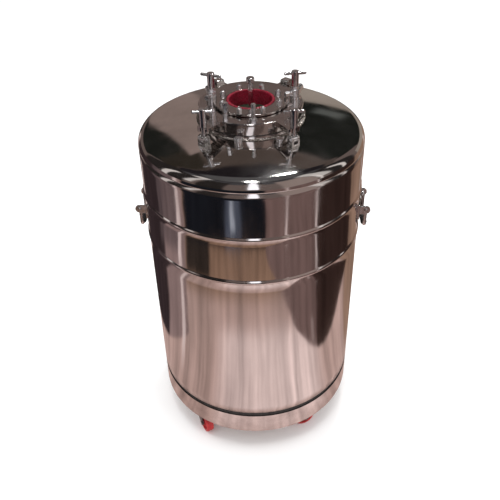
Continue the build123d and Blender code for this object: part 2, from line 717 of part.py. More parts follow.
def castor_plate():
    plate = block(-22.0, 22.0, -22.0, 22.0, 67.0, TRAY_BOTTOM_Z)
    plate = fillet(plate.edges().filter_by(Axis.Z), 4.0)
    for bx, by in CASTOR_BOLTS:
        plate -= Pos(bx, by, 0) * disc(2.6, 67.0, TRAY_BOTTOM_Z)
    race = disc(16.0, 61.0, 67.0)
    kingpin = disc(KINGPIN_R, 53.0, 61.0) + disc(6.0, 51.5, 53.5)
    return plate + race + kingpin


def castor_plates():
    plates = [Pos(sx * CASTOR_XY, sy * CASTOR_XY, 0) * castor_plate()
              for sx, sy, _ in CASTORS.values()]
    return Compound(children=plates)


def castor_bolts():
    """Button-head screws up through the castor plates into nuts above the tray."""
    screw = disc(2.5, 64.5, 77.5) + disc(4.5, 64.5, 67.0)
    screw += Pos(0, 0, 73.0) * extrude(RegularPolygon(4.0, 6, major_radius=False), 4.0)
    placed = [
        Pos(sx * CASTOR_XY + bx, sy * CASTOR_XY + by, 0) * screw
        for sx, sy, _ in CASTORS.values()
        for bx, by in CASTOR_BOLTS
    ]
    return Compound(children=placed)


def at_castor(name, shape):
    sx, sy, heading = CASTORS[name]
    return Pos(sx * CASTOR_XY, sy * CASTOR_XY, 0) * Rot(0, 0, heading) * shape


def castor_fork(name):
    """Pressed fork with the wheel's trail along local +X, and the riveted axle as its own solid."""
    inner, outer = WHEEL_HALF_WIDTH + 1.0, WHEEL_HALF_WIDTH + 3.5
    cheek = Polyline((-13, 60.7), (15, 60.7), (30, 32), (30, 22), (24, 16), (17, 16), (-13, 54),
                     close=True)
    cheek = make_face(Plane.XZ * cheek)
    legs = [extrude(Pos(0, y, 0) * cheek, amount=outer - inner, dir=(0, 1, 0))
            for y in (inner, -outer)]
    crown = disc(15.5, 53.8, 60.7) & block(-16, 16, -outer, outer, 50, 65)
    fork = crown + legs[0] + legs[1]
    fork -= disc(KINGPIN_R + RUNNING_GAP, 50.0, 61.0)
    axle_place = Pos(CASTOR_TRAIL, 0, WHEEL_R) * Rot(90, 0, 0)
    fork -= axle_place * Cylinder(PIN_R, 60.0)
    axle = Cylinder(PIN_R, 2 * outer + 1.0)
    for side in (-1, 1):
        axle += Pos(0, 0, side * (outer + 1.0)) * Cylinder(5.0, 2.0)
    return Compound(children=[at_castor(name, fork), at_castor(name, axle_place * axle)])


def castor_wheel(name):
    wheel = Cylinder(WHEEL_R, 2 * WHEEL_HALF_WIDTH)
    wheel = fillet(wheel.edges().filter_by(GeomType.CIRCLE), 3.0)
    for side in (-1, 1):
        pocket = Cylinder(18.0, 4.0) - Cylinder(8.0, 4.0)
        wheel -= Pos(0, 0, side * WHEEL_HALF_WIDTH) * pocket
    wheel -= Cylinder(PIN_R + RUNNING_GAP, 40.0)
    return at_castor(name, Pos(CASTOR_TRAIL, 0, WHEEL_R) * Rot(90, 0, 0) * wheel)


def parts():
    yield "outer_shell", outer_shell()
    yield "top_head", top_head()
    yield "bottom_head", bottom_head()
    yield "vacuum_port", vacuum_port()
    yield "vacuum_port_cap", vacuum_port_cap()
    yield "casing_relief_plug", casing_relief_plug()
    yield "inner_shell", inner_shell()
    yield "inner_top_head", inner_top_head()
    yield "inner_bottom_head", inner_bottom_head()
    yield "superinsulation_wrap", superinsulation_wrap()
    yield "adsorbent_pouch", adsorbent_pouch()
    yield "bottom_spacer", bottom_spacer()
    yield "neck_tube", neck_tube()
    yield "neck_collar", neck_collar()
    yield "outer_cover_gasket", outer_cover_gasket()
    yield "inner_cover_gasket", inner_cover_gasket()
    yield "neck_cover", neck_cover()
    yield "neck_seal_ring", neck_seal_ring()
    yield "seal_clamp_ring", seal_clamp_ring()
    yield "clamp_ring_nuts", clamp_ring_nuts()
    yield "rear_claws", rear_claws()
    yield "plug_foam", plug_foam()
    yield "plug_cap", plug_cap()
    yield "plug_stem", plug_stem()
    for name, at, heading, turn in (
        ("liquid", LIQUID_VALVE_AT, LIQUID_OUTLET_HEADING, -24.0),
        ("vent", VENT_VALVE_AT, VENT_OUTLET_HEADING, 6.0),
    ):
        yield f"{name}_valve_body", valve_body(at, heading)
        yield f"{name}_valve_spindle", valve_spindle(at)
        yield f"{name}_valve_handle", valve_handle(at, turn)
    yield "valve_glands", valve_glands()
    yield "dip_tube", dip_tube()
    yield "vent_tube", vent_tube()
    yield "relief_valve", relief_valve()
    yield "burst_disc_holder", burst_disc_holder()
    angles = SWING_ANGLES.values()
    yield "swing_lugs", Compound(children=[at_angle(a, swing_lug()) for a in angles])
    yield "swing_pins", Compound(children=[at_angle(a, swing_pin()) for a in angles])
    for side, angle in SWING_ANGLES.items():
        yield f"swing_bolt_{side}", at_angle(angle, swing_bolt())
        yield f"tee_nut_{side}", at_angle(angle, tee_nut(-angle + 4.0))
    yield "handle_brackets", handle_brackets()
    for side, turn in HANDLES.items():
        yield f"bail_{side}", bail(turn)
        yield f"grip_{side}", grip(turn)
    yield "base_tray", base_tray()
    yield "base_rubber_ring", base_rubber_ring()
    yield "bottom_boss", bottom_boss()
    yield "hold_down_fasteners", hold_down_fasteners()
    yield "castor_plates", castor_plates()
    yield "castor_bolts", castor_bolts()
    for name in CASTORS:
        yield f"castor_fork_{name}", castor_fork(name)
        yield f"castor_wheel_{name}", castor_wheel(name)


os.makedirs("parts", exist_ok=True)
for node, shape in parts():
    export_step(shape, f"parts/{node}.step")
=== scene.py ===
"""Looks for a liquid nitrogen dewar in mirror-polished stainless steel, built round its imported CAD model."""

import math

import bmesh
import bpy
from mathutils import Matrix, Vector


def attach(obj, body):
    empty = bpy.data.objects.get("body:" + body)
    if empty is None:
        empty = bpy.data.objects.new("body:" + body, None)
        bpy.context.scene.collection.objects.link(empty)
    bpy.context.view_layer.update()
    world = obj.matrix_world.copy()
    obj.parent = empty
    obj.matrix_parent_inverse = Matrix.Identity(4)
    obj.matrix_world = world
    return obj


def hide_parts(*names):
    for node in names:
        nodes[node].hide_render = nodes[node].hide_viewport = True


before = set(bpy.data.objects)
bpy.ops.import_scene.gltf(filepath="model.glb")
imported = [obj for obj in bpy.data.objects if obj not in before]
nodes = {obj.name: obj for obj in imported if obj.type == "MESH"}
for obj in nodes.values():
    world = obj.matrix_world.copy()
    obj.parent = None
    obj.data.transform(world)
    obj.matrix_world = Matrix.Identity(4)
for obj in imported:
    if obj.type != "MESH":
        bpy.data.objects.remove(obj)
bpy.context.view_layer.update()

# Dimensions shared with the CAD model, in metres.
SHELL_R = 0.230
WALL = 0.002
SHELL_BOTTOM_Z = 0.137
SHOULDER_Z = 0.728
KNUCKLE = 0.025
CROWN = 0.920
BEADS = (0.5235, 0.626)
BEAD_HEIGHT = 0.0022
BEAD_HALF_WIDTH = 0.0055
HEAD_HOLE_R = 0.1045
COLLAR_R = 0.104
HANDLES = {"right": -3.0, "left": 177.0}
BAIL_PIVOT = (0.243, 0.570)
BAIL_DROP = 0.044
CASTORS = {
    "front_left": (-1, -1, 297.0),
    "front_right": (1, -1, 200.0),
    "rear_left": (-1, 1, 160.0),
    "rear_right": (1, 1, 20.0),
}
CASTOR_XY = 0.137
CASTOR_TRAIL = 0.024
WHEEL_R = 0.025
WHEEL_HALF_WIDTH = 0.009

# Sizes of the pieces made here, in metres unless said.
RING_IN_R = 0.2226
RING_OUT_R = 0.2282
RING_BOTTOM_Z = 0.1252
RING_TOP_Z = 0.1368
WELD_OFFSET = 0.0028
WELD_RIPPLES = 420
SEAM_ANGLE = 97.0  # degrees from +X
SEAM_HALF_WIDTH = 0.004
SEAM_HEIGHT = 0.00025
GRIP_R = 0.0070
GRIP_BORE_R = 0.0040
GRIP_HALF_LENGTH = 0.020
GRIP_RIB_PITCH = 0.0028
AXLE_HOLE_R = 0.00305
HUB_R = 0.0080
TYRE_IN_R = 0.0180
DISH = 0.0040
WEBS = 6
CAMERA_AT = (-0.00834, -1.2225, 1.3458)
CAMERA_PITCH = 36.72  # degrees down from level
CAMERA_ROLL = -1.37
CAMERA_LENS = 47.52  # millimetres


# Mesh helpers

def new_piece(name, body, slot, material, verts, faces, smooth=True):
    mesh = bpy.data.meshes.new(name)
    mesh.from_pydata(verts, [], faces)
    mesh.validate()
    bm = bmesh.new()
    bm.from_mesh(mesh)
    bmesh.ops.recalc_face_normals(bm, faces=bm.faces)
    bm.to_mesh(mesh)
    bm.free()
    for polygon in mesh.polygons:
        polygon.use_smooth = smooth
    piece = bpy.data.objects.new(name, mesh)
    bpy.context.scene.collection.objects.link(piece)
    piece.data.materials.append(material)
    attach(piece, body)
    return piece


def rounded(corners, steps=6, guard=0.0003):
    """Closed (r, z) outline: each corner (r, z, radius) becomes an arc with a guard point on either side."""
    out = []
    count = len(corners)
    for i, (r, z, radius) in enumerate(corners):
        here = Vector((r, z))
        back = Vector(corners[i - 1][:2]) - here
        ahead = Vector(corners[(i + 1) % count][:2]) - here
        if radius <= 0:
            out.append((r, z))
            continue
        a, b = back.normalized(), ahead.normalized()
        half = a.angle(b) / 2
        reach = radius / math.tan(half)
        centre = here + (a + b).normalized() * radius / math.sin(half)
        start, end = here + a * reach, here + b * reach
        if back.length > reach + 2 * guard:
            out.append(tuple(start + a * guard))
        u, v = start - centre, end - centre
        sweep = u.angle(v)
        for k in range(steps + 1):
            t = k / steps
            p = (u * math.sin((1 - t) * sweep) + v * math.sin(t * sweep)) / math.sin(sweep)
            out.append(tuple(centre + p))
        if ahead.length > reach + 2 * guard:
            out.append(tuple(end + b * guard))
    return out


def lathe(outline, segments, place=Matrix.Identity(4), shape=None):
    """Vertices and faces of a closed outline turned about +Z. shape(angle, r, z) may move each point."""
    verts, faces = [], []
    n = len(outline)
    for s in range(segments):
        angle = 2 * math.pi * s / segments
        for r, z in outline:
            if shape:
                r, z = shape(angle, r, z)
            verts.append(place @ Vector((r * math.cos(angle), r * math.sin(angle), z)))
    for s in range(segments):
        t = (s + 1) % segments
        for i in range(n):
            j = (i + 1) % n
            faces.append((s * n + i, s * n + j, t * n + j, t * n + i))
    return verts, faces


def crown_centre():
    reach = CROWN - KNUCKLE
    return SHOULDER_Z - math.sqrt(reach ** 2 - (SHELL_R - KNUCKLE) ** 2)


def head_z(r):
    return crown_centre() + math.sqrt(CROWN ** 2 - r ** 2)


# Materials

class Graph:
    """A node tree and the few kinds of node used here."""

    def __init__(self, tree):
        self.tree = tree

    def add(self, kind, **values):
        node = self.tree.nodes.new(kind)
        for key, value in values.items():
            if hasattr(node, key):
                setattr(node, key, value)
            else:
                node.inputs[key.replace("_", " ")].default_value = value
        return node

    def link(self, source, target):
        self.tree.links.new(source, target)

    def math(self, operation, *values):
        node = self.add("ShaderNodeMath", operation=operation)
        for socket, value in zip(node.inputs, values):
            if isinstance(value, (int, float)):
                socket.default_value = value
            else:
                self.link(value, socket)
        return node.outputs[0]

    def ramp(self, value, start, end):
        """0 before start and 1 after end, with a smooth step between."""
        node = self.add("ShaderNodeMapRange", interpolation_type="SMOOTHERSTEP")
        node.inputs["From Min"].default_value = start
        node.inputs["From Max"].default_value = end
        self.link(value, node.inputs["Value"])
        return node.outputs["Result"]

    def band(self, value, low, high, soft):
        """1 between low and high, fading over soft."""
        return self.math("MULTIPLY", self.ramp(value, low - soft, low), self.ramp(value, high + soft, high))

    def painted(self, base, layers):
        """base covered by layers of (mask output, colour)."""
        colour = None
        for mask, rgb in layers:
            mix = self.add("ShaderNodeMix", data_type="RGBA")
            if colour is None:
                mix.inputs[6].default_value = (*base, 1)
            else:
                self.link(colour, mix.inputs[6])
            mix.inputs[7].default_value = (*rgb, 1)
            self.link(mask, mix.inputs[0])
            colour = mix.outputs[2]
        return colour


class Nodes(Graph):
    """A material's node tree with a Principled shader at its end."""

    def __init__(self, name):
        self.material = bpy.data.materials.new(name)
        self.material.use_nodes = True
        super().__init__(self.material.node_tree)
        self.shader = self.tree.nodes["Principled BSDF"]
        self.coords = self.add("ShaderNodeTexCoord").outputs["Object"]

    def stretched(self, scale):
        mapping = self.add("ShaderNodeMapping")
        mapping.inputs["Scale"].default_value = scale
        self.link(self.coords, mapping.inputs["Vector"])
        return mapping.outputs["Vector"]

    def noise(self, scale, detail=3.0, rough=0.5, stretch=None, distortion=0.0):
        node = self.add(
            "ShaderNodeTexNoise", Scale=scale, Detail=detail, Roughness=rough, Distortion=distortion
        )
        self.link(self.stretched(stretch) if stretch else self.coords, node.inputs["Vector"])
        return node.outputs["Fac"]

    def span(self, source, low, high, start=0.35, end=0.65):
        node = self.add("ShaderNodeMapRange")
        for key, value in (("From Min", start), ("From Max", end), ("To Min", low), ("To Max", high)):
            node.inputs[key].default_value = value
        self.link(source, node.inputs["Value"])
        return node.outputs["Result"]

    def mixed(self, factor, dark, light):
        node = self.add("ShaderNodeMix", data_type="RGBA")
        node.inputs[6].default_value = (*dark, 1)
        node.inputs[7].default_value = (*light, 1)
        self.link(factor, node.inputs[0])
        return node.outputs[2]

    def bumps(self, *layers):
        """Bump nodes in series, each (height output, strength, distance)."""
        normal = None
        for height, strength, distance in layers:
            bump = self.add("ShaderNodeBump", Strength=strength, Distance=distance)
            self.link(height, bump.inputs["Height"])
            if normal:
                self.link(normal, bump.inputs["Normal"])
            normal = bump.outputs["Normal"]
        self.link(normal, self.shader.inputs["Normal"])

    def colour(self, output):
        self.link(output, self.shader.inputs["Base Color"])

    def roughness(self, output):
        self.link(output, self.shader.inputs["Roughness"])

    def set(self, **values):
        for key, value in values.items():
            self.shader.inputs[key.replace("_", " ")].default_value = value


def polished_sheet():
    """Mirror-polished sheet: drawn along its height, a little wavy, with hairline marks and smears."""
    m = Nodes("mirror_polished_sheet")
    m.set(Metallic=1.0)
    smear = m.noise(5.0, 4.0, 0.6, (1, 1, 0.35))
    m.colour(m.mixed(m.span(smear, 0, 1), (0.64, 0.60, 0.585), (0.80, 0.765, 0.75)))
    hair = m.noise(900.0, 2.0, 0.5, (1, 1, 0.012))
    cloud = m.noise(14.0, 5.0, 0.65, (1, 1, 0.5))
    total = m.add("ShaderNodeMath", operation="ADD")
    m.link(m.span(cloud, 0.045, 0.12), total.inputs[0])
    m.link(m.span(hair, 0.0, 0.035), total.inputs[1])
    m.roughness(total.outputs[0])
    m.bumps(
        (m.noise(5.5, 1.0, 0.4), 1.0, 0.0007),
        (m.noise(26.0, 1.0, 0.4, (1, 1, 0.09)), 1.0, 0.00022),
        (m.noise(1400.0, 2.0, 0.5, (1, 1, 0.01)), 0.25, 0.00001),
    )
    return m.material


def polished_head():
    """Spun and buffed head: round hairlines and slight hammer waviness."""
    m = Nodes("mirror_polished_head")
    m.set(Metallic=1.0)
    smear = m.noise(7.0, 4.0, 0.6)
    m.colour(m.mixed(m.span(smear, 0, 1), (0.62, 0.595, 0.575), (0.78, 0.755, 0.735)))
    cloud = m.noise(18.0, 5.0, 0.65)
    m.roughness(m.span(cloud, 0.04, 0.11))
    m.bumps(
        (m.noise(11.0, 1.0, 0.4), 1.0, 0.0005),
        (m.noise(1100.0, 2.0, 0.5), 0.2, 0.00001),
    )
    return m.material


def fitting_metal(name, dark, light, low, high, grain=700.0, wear=60.0):
    """Machined or buffed fitting: fine grain, handling marks and a little tarnish in patches."""
    m = Nodes(name)
    m.set(Metallic=1.0)
    patch = m.noise(wear, 5.0, 0.6)
    m.colour(m.mixed(m.span(patch, 0, 1), dark, light))
    m.roughness(m.span(m.noise(wear * 2.2, 5.0, 0.65), low, high))
    m.bumps(
        (m.noise(wear * 0.8, 2.0, 0.5), 0.6, 0.00012),
        (m.noise(grain, 3.0, 0.6), 0.35, 0.00002),
    )
    return m.material


def rubber(name, dark, light, low, high, grain=420.0, strength=0.5):
    """Moulded rubber or silicone with a fine matt skin and dust in patches."""
    m = Nodes(name)
    patch = m.noise(45.0, 5.0, 0.6)
    m.colour(m.mixed(m.span(patch, 0, 1), dark, light))
    m.roughness(m.span(m.noise(160.0, 4.0, 0.6), low, high))
    m.bumps((m.noise(grain, 3.0, 0.6), strength, 0.00006), (m.noise(38.0, 2.0, 0.5), 0.3, 0.0002))
    return m.material


def foam_material():
    m = Nodes("closed_cell_foam")
    cells = m.add("ShaderNodeTexVoronoi", Scale=900.0)
    m.link(m.coords, cells.inputs["Vector"])
    m.colour(m.mixed(m.span(m.noise(70.0, 5.0, 0.6), 0, 1), (0.70, 0.68, 0.59), (0.86, 0.84, 0.76)))
    m.roughness(m.span(m.noise(200.0, 4.0, 0.6), 0.55, 0.85))
    m.bumps((cells.outputs["Distance"], 0.6, 0.0002))
    return m.material


def foil_material():
    m = Nodes("crinkled_insulation_foil")
    m.set(Metallic=1.0)
    folds = m.add("ShaderNodeTexVoronoi", Scale=60.0)
    m.link(m.coords, folds.inputs["Vector"])
    m.colour(m.mixed(m.span(m.noise(30.0), 0, 1), (0.70, 0.70, 0.72), (0.88, 0.88, 0.89)))
    m.roughness(m.span(m.noise(120.0), 0.15, 0.4))
    m.bumps((folds.outputs["Distance"], 0.8, 0.001))
    return m.material


def cloth_material():
    m = Nodes("woven_pouch_cloth")
    weave = m.add("ShaderNodeTexWave", Scale=350.0, Distortion=1.5)
    m.link(m.coords, weave.inputs["Vector"])
    m.colour(m.mixed(weave.outputs["Fac"], (0.50, 0.48, 0.43), (0.68, 0.66, 0.60)))
    m.roughness(m.span(m.noise(200.0), 0.75, 0.95))
    m.bumps((weave.outputs["Fac"], 0.6, 0.0002))
    return m.material


def epoxy_material():
    m = Nodes("glass_fibre_laminate")
    weave = m.add("ShaderNodeTexWave", Scale=240.0, Distortion=2.0)
    m.link(m.coords, weave.inputs["Vector"])
    m.colour(m.mixed(weave.outputs["Fac"], (0.010, 0.020, 0.012), (0.022, 0.040, 0.026)))
    m.roughness(m.span(m.noise(90.0), 0.25, 0.45))
    m.bumps((weave.outputs["Fac"], 0.3, 0.0001))
    return m.material


SHEET = polished_sheet()
HEAD = polished_head()
BASE = fitting_metal("base_tray_steel", (0.60, 0.55, 0.53), (0.76, 0.71, 0.69), 0.09, 0.22, 900.0, 22.0)
TURNED = fitting_metal("turned_cover_steel", (0.76, 0.75, 0.76), (0.92, 0.91, 0.92), 0.10, 0.24)
FITTING = fitting_metal("buffed_fitting_steel", (0.78, 0.77, 0.78), (0.95, 0.94, 0.95), 0.20, 0.38)
BRACKET = fitting_metal("handle_steel", (0.68, 0.66, 0.65), (0.88, 0.86, 0.85), 0.16, 0.32)
INNER = fitting_metal("inner_vessel_steel", (0.55, 0.54, 0.53), (0.70, 0.69, 0.68), 0.25, 0.42)
ZINC = fitting_metal("zinc_plated_steel", (0.13, 0.13, 0.14), (0.30, 0.30, 0.31), 0.30, 0.48, 500.0, 90.0)
WELD = fitting_metal("weld_bead_steel", (0.40, 0.36, 0.32), (0.70, 0.66, 0.62), 0.16, 0.34, 900.0, 120.0)
RED_WHEEL = rubber("red_wheel_tyre", (0.36, 0.012, 0.016), (0.52, 0.028, 0.030), 0.30, 0.46, 500.0, 0.3)
RED_SEAL = rubber("red_silicone", (0.11, 0.004, 0.011), (0.20, 0.009, 0.024), 0.22, 0.38, 350.0, 0.35)
BLACK_GRIP = rubber("black_grip_rubber", (0.012, 0.012, 0.013), (0.030, 0.029, 0.028), 0.45, 0.65)
BLACK_RUBBER = rubber("black_rubber", (0.008, 0.008, 0.008), (0.022, 0.021, 0.020), 0.45, 0.70)
FOAM = foam_material()
FOIL = foil_material()
CLOTH = cloth_material()
EPOXY = epoxy_material()

BY_SLOT = {
    "polished_steel": SHEET,
    "base_steel": BASE,
    "turned_steel": TURNED,
    "fitting_steel": FITTING,
    "bracket_steel": BRACKET,
    "inner_steel": INNER,
    "zinc_steel": ZINC,
    "wheel_red": RED_WHEEL,
    "grip_black": BLACK_GRIP,
    "seal_red": RED_SEAL,
    "rubber_black": BLACK_RUBBER,
    "glass_epoxy": EPOXY,
    "foam": FOAM,
    "insulation_foil": FOIL,
    "pouch_cloth": CLOTH,
}
for node in nodes.values():
    for place in node.material_slots:
        place.material = BY_SLOT[place.material.name.split(".")[0]]


def soften(node, width):
    """Rounds the sharp edges of a CAD node a little."""
    weld = nodes[node].modifiers.new("weld", "WELD")
    weld.merge_threshold = 0.00001
    bevel = nodes[node].modifiers.new("edge", "BEVEL")
    bevel.width = width
    bevel.segments = 2
    bevel.limit_method = "ANGLE"
    bevel.angle_limit = math.radians(40)
    bevel.harden_normals = True


for name in ("handle_brackets", "swing_lugs", "rear_claws", "castor_plates", "neck_cover"):
    soften(name, 0.0006)
for name in CASTORS:
    soften(f"castor_fork_{name}", 0.0004)


# Vessel skin: barrel with its two beads, top head, rubber ring and collar weld

def barrel_outline():
    inside = SHELL_R - WALL
    points = [(inside, SHOULDER_Z), (inside, SHELL_BOTTOM_Z), (SHELL_R - 0.0006, SHELL_BOTTOM_Z)]
    points.append((SHELL_R, SHELL_BOTTOM_Z + 0.0006))
    z = SHELL_BOTTOM_Z
    for bead in BEADS:
        low = bead - BEAD_HALF_WIDTH
        while z + 0.02 < low - 0.001:
            z += 0.02
            points.append((SHELL_R, z))
        for k in range(25):
            t = k / 24
            rise = BEAD_HEIGHT * math.sin(math.pi * t) ** 1.3
            points.append((SHELL_R + rise, low + 2 * BEAD_HALF_WIDTH * t))
        z = bead + BEAD_HALF_WIDTH + 0.001
        points.append((SHELL_R, z))
    while z + 0.02 < SHOULDER_Z - 0.001:
        z += 0.02
        points.append((SHELL_R, z))
    points.append((SHELL_R, SHOULDER_Z))
    return points


def head_outline():
    """Knuckle and crown outside, and the same inside, from the shoulder to the hole for the collar."""
    sweep = math.asin((SHELL_R - KNUCKLE) / (CROWN - KNUCKLE))
    centre = crown_centre()
    points = []
    for inset in (0.0, WALL):
        knuckle, crown = KNUCKLE - inset, CROWN - inset
        side = []
        for k in range(19):
            a = (math.pi / 2 - sweep) * k / 18
            side.append((SHELL_R - KNUCKLE + knuckle * math.cos(a), SHOULDER_Z + knuckle * math.sin(a)))
        inner = math.asin(HEAD_HOLE_R / crown)
        for k in range(1, 25):
            a = sweep + (inner - sweep) * k / 24
            side.append((crown * math.sin(a), centre + crown * math.cos(a)))
        points += side if inset == 0 else list(reversed(side))
    return points


def weld_ring(name, r, z, width, height, ripples, slope):
    """Weld bead all round, with the ripples that the torch leaves."""
    steps = ripples * 4

    def section(angle):
        swell = 1 + 0.10 * math.sin(ripples * angle) + 0.05 * math.sin(13 * angle + 1.0)
        out = []
        for k in range(8):
            a = 2 * math.pi * k / 8
            u = width / 2 * math.cos(a) * swell
            v = height * math.sin(a) * (swell if math.sin(a) > 0 else 0.5)
            out.append((
                r + u * math.cos(slope) - v * math.sin(slope),
                z + u * math.sin(slope) + v * math.cos(slope),
            ))
        return out

    verts, faces = [], []
    for s in range(steps):
        angle = 2 * math.pi * s / steps
        for pr, pz in section(angle):
            verts.append((pr * math.cos(angle), pr * math.sin(angle), pz))
    for s in range(steps):
        t = (s + 1) % steps
        for i in range(8):
            j = (i + 1) % 8
            faces.append((s * 8 + i, s * 8 + j, t * 8 + j, t * 8 + i))
    new_piece(name, "vessel", "turned_steel", WELD, verts, faces)


def seam_shape(angle, r, z):
    """Planished lengthwise seam of the rolled barrel, at the back."""
    off = (angle - math.radians(SEAM_ANGLE)) * SHELL_R
    if r > SHELL_R - 0.001 and abs(off) < SEAM_HALF_WIDTH:
        r += SEAM_HEIGHT * math.cos(off / SEAM_HALF_WIDTH * math.pi / 2) ** 2
    return r, z


barrel = lathe(barrel_outline(), 480, shape=seam_shape)
shell = new_piece("shell_skin", "vessel", "polished_steel", SHEET, *barrel)
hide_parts("outer_shell")
head = new_piece("head_skin", "vessel", "polished_steel", HEAD, *lathe(head_outline(), 480))
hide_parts("top_head")
ring = new_piece(
    "base_ring_rubber", "vessel", "rubber_black", BLACK_RUBBER,
    *lathe(rounded([
        (RING_IN_R, RING_BOTTOM_Z, 0.0008), (RING_OUT_R, RING_BOTTOM_Z, 0.0015),
        (RING_OUT_R, RING_TOP_Z, 0.0015), (RING_IN_R, RING_TOP_Z, 0.0008),
    ]), 240),
)
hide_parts("base_rubber_ring")
weld_r = COLLAR_R + WELD_OFFSET
weld_ring("collar_weld", weld_r, head_z(weld_r) + 0.0003, 0.0050, 0.0016, WELD_RIPPLES, -0.12)


# Grips and wheels

def grip(side):
    """Ribbed rubber sleeve on the bail's cross bar, drawn along +Z and laid across the handle."""
    radius, bore, half = GRIP_R, GRIP_BORE_R, GRIP_HALF_LENGTH
    outline = [(bore, -half), (radius - 0.0022, -half)]
    steps = 120
    for k in range(steps + 1):
        z = -half + 0.0012 + (2 * half - 0.0024) * k / steps
        end = min(1.0, (half - abs(z)) / 0.0045)
        base = radius - 0.0022 + 0.0022 * math.sin(end * math.pi / 2)
        rib = 0.0
        if abs(z) < half - 0.005:
            rib = 0.00055 * (1 - math.cos(z / GRIP_RIB_PITCH * 2 * math.pi)) / 2
        outline.append((base - rib, z))
    outline += [(radius - 0.0022, half), (bore, half)]
    turn = Matrix.Rotation(math.radians(HANDLES[side]), 4, "Z")
    place = turn @ Matrix.Translation((BAIL_PIVOT[0], 0, BAIL_PIVOT[1] - BAIL_DROP)) @ Matrix.Rotation(
        math.pi / 2, 4, "X")
    sleeve = lathe(outline, 64, place)
    piece = new_piece(f"grip_sleeve_{side}", f"handle_{side}", "grip_black", BLACK_GRIP, *sleeve)
    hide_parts(f"grip_{side}")


for side in HANDLES:
    grip(side)


def castor_place(name):
    sx, sy, heading = CASTORS[name]
    return (
        Matrix.Translation((sx * CASTOR_XY, sy * CASTOR_XY, 0))
        @ Matrix.Rotation(math.radians(heading), 4, "Z")
        @ Matrix.Translation((CASTOR_TRAIL, 0, WHEEL_R))
        @ Matrix.Rotation(math.pi / 2, 4, "X")
    )


def wheel(name):
    """Tyre with a crowned tread and parting grooves, a dished centre with webs, and a bearing boss."""
    w = WHEEL_HALF_WIDTH
    outline = rounded([
        (TYRE_IN_R, -w + DISH, 0.0008), (TYRE_IN_R, -w, 0.0010), (WHEEL_R, -w, 0.0030),
        (WHEEL_R, -0.0006, 0.0), (WHEEL_R - 0.0004, 0.0, 0.0), (WHEEL_R, 0.0006, 0.0),
        (WHEEL_R, w, 0.0030), (TYRE_IN_R, w, 0.0010), (TYRE_IN_R, w - DISH, 0.0008),
        (HUB_R, w - DISH, 0.0008), (HUB_R, w, 0.0006), (AXLE_HOLE_R, w, 0.0003),
        (AXLE_HOLE_R, -w, 0.0003), (HUB_R, -w, 0.0006), (HUB_R, -w + DISH, 0.0008),
    ], 4, 0.0002)
    place = castor_place(name)
    tyre = new_piece(f"tyre_{name}", f"wheel_{name}", "wheel_red", RED_WHEEL, *lathe(outline, 96, place))
    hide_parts(f"castor_wheel_{name}")
    verts, faces = [], []
    for side in (-1, 1):
        for k in range(WEBS):
            turn = Matrix.Rotation(2 * math.pi * k / WEBS, 4, "Z")
            box = [(x, y, side * z) for z in (w - 0.0045, w - 0.0015) for x, y in
                   ((0.0076, -0.0008), (0.0184, -0.0011), (0.0184, 0.0011), (0.0076, 0.0008))]
            start = len(verts)
            verts += [place @ turn @ Vector(p) for p in box]
            quads = ((0, 1, 2, 3), (7, 6, 5, 4), (0, 4, 5, 1), (1, 5, 6, 2), (2, 6, 7, 3), (3, 7, 4, 0))
            faces += [tuple(start + i for i in quad) for quad in quads]
    webs = new_piece(
        f"wheel_webs_{name}", f"wheel_{name}", "wheel_red", RED_WHEEL, verts, faces, smooth=False
    )
    bevel = webs.modifiers.new("edge", "BEVEL")
    bevel.width = 0.0003
    bevel.segments = 2


for name in CASTORS:
    wheel(name)


# Camera

camera_data = bpy.data.cameras.new("camera")
camera_data.lens = CAMERA_LENS
camera_data.sensor_width = 36.0
camera = bpy.data.objects.new("camera", camera_data)
bpy.context.scene.collection.objects.link(camera)
pitch, roll = math.radians(CAMERA_PITCH), math.radians(CAMERA_ROLL)
ahead = Vector((0, math.cos(pitch), -math.sin(pitch)))
level = Vector((1, 0, 0))
above = level.cross(ahead)
across = level * math.cos(roll) + above * math.sin(roll)
above = across.cross(ahead)
facing = Matrix((across, above, -ahead)).transposed().to_4x4()
camera.matrix_world = Matrix.Translation(CAMERA_AT) @ facing
bpy.context.scene.camera = camera


# Studio: pale floor, soft lights, and the painted room that the steel mirrors

def stage_mesh(name, verts, faces, material):
    mesh = bpy.data.meshes.new(name)
    mesh.from_pydata(verts, [], faces)
    thing = bpy.data.objects.new(name, mesh)
    bpy.context.scene.collection.objects.link(thing)
    mesh.materials.append(material)
    return thing


def plain(size, z):
    return [(-size, -size, z), (size, -size, z), (size, size, z), (-size, size, z)], [(0, 1, 2, 3)]


def floor_material():
    m = Nodes("pale_floor")
    m.colour(m.mixed(m.span(m.noise(3.0), 0, 1), (0.93, 0.93, 0.93), (0.96, 0.96, 0.96)))
    m.set(Roughness=0.9)
    m.shader.inputs["Specular IOR Level"].default_value = 0.1
    return m.material


